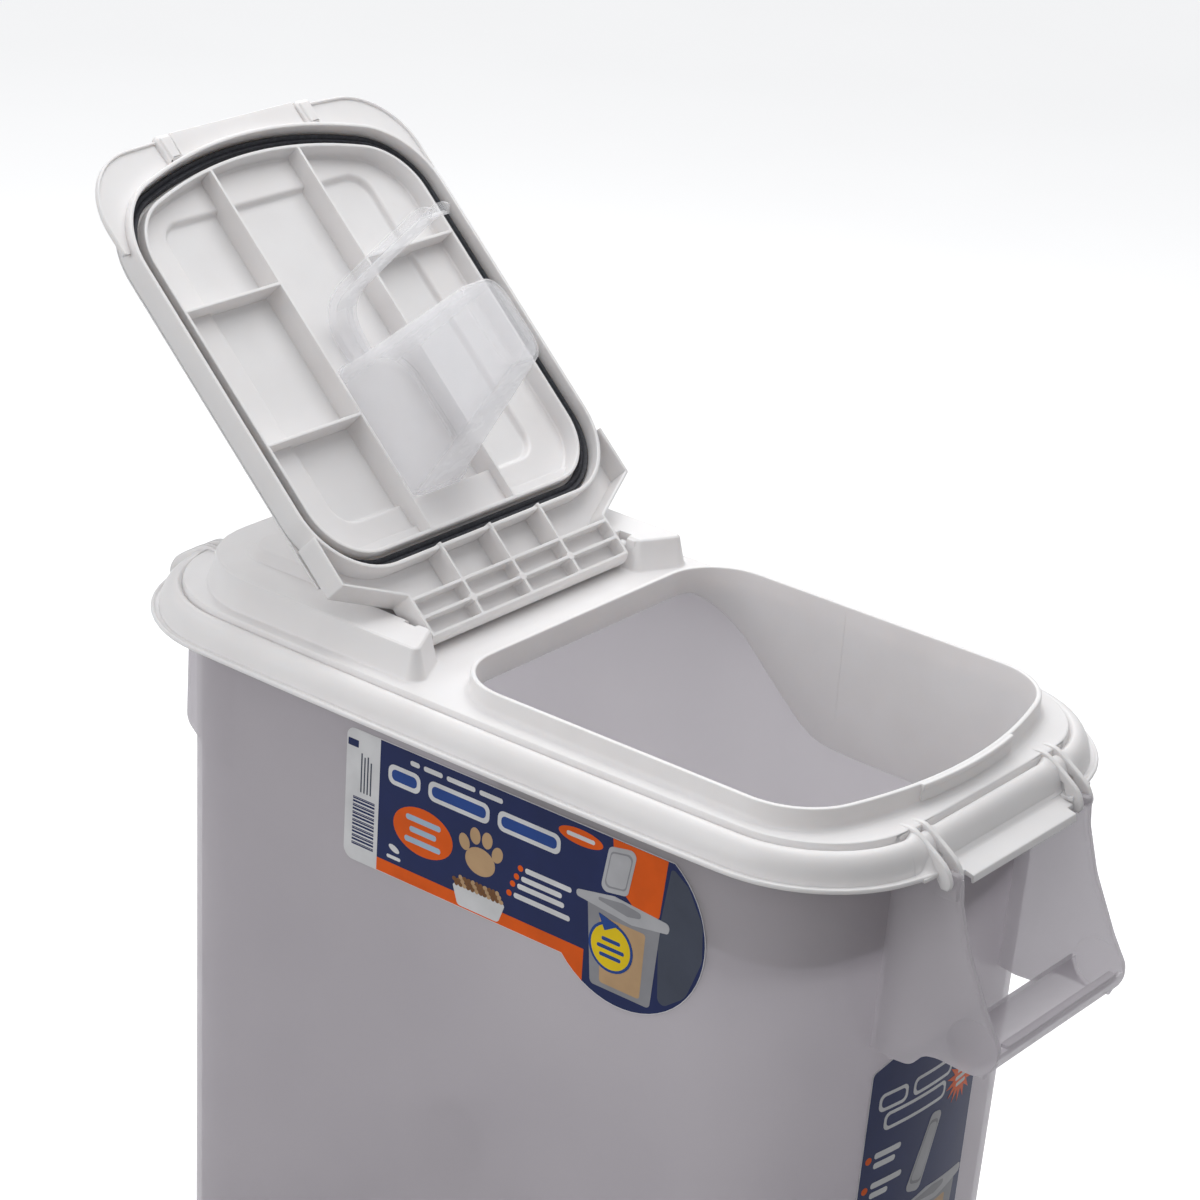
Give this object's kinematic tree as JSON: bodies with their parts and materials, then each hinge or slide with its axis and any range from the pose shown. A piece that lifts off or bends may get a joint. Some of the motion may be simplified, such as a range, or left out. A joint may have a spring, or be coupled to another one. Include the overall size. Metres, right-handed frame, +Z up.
{
  "type": "wheeled pet food storage bin",
  "caption": "Tall cloudy plastic bin with wheels, a white lid that lifts off, a hinged flip door with a seal, a front grip and a scoop stowed in the door.",
  "frame": {"origin": "middle of the tub's flat underside, on the floor the bin stands on", "axes": "+Z up, -Y towards the front with the grip and the mouth, +Y towards the wheels, +X to the right seen from the front"},
  "size_m": [0.312, 0.6433, 0.739],
  "materials": {
    "cloudy_plastic": "satin, translucent",
    "white_plastic": "satin moulded",
    "seal_rubber": "matt foam rubber",
    "clear_plastic": "glossy, frosted clear",
    "printed_film": "printed film, semi-gloss",
    "steel": "drawn rod",
    "black_plastic": "satin moulded"
  },
  "bodies": {
    "bin": {"tub": "cloudy_plastic", "side_label": "printed_film", "front_label": "printed_film", "axle": "steel", "axle_cap_left": "steel", "axle_cap_right": "steel"},
    "lid": {"lid_frame": "white_plastic", "lid_gasket": "seal_rubber"},
    "door": {"flip_door": "white_plastic", "door_gasket": "seal_rubber"},
    "scoop": {"scoop": "clear_plastic"},
    "wheel_left": {"wheel_left": "black_plastic"},
    "wheel_right": {"wheel_right": "black_plastic"}
  },
  "joints": [
    {"name": "lid_lift", "type": "slide", "parent": "bin", "child": "lid", "axis": [0, 0, 1], "range_m": [0, 0.12]},
    {"name": "door_hinge", "type": "hinge", "parent": "lid", "child": "door", "pos_m": [0, 0.0713, 0.5049], "axis": [1, 0, 0], "range_deg": [0, 136.9]},
    {"name": "scoop_pull", "type": "slide", "parent": "door", "child": "scoop", "axis": [0, -0.6833, 0.7302], "range_m": [0, 0.14]},
    {"name": "wheel_spin_left", "type": "hinge", "parent": "bin", "child": "wheel_left", "pos_m": [-0.104, 0.188, 0.026], "axis": [1, 0, 0], "continuous": true},
    {"name": "wheel_spin_right", "type": "hinge", "parent": "bin", "child": "wheel_right", "pos_m": [0.104, 0.188, 0.026], "axis": [1, 0, 0], "continuous": true}
  ]
}
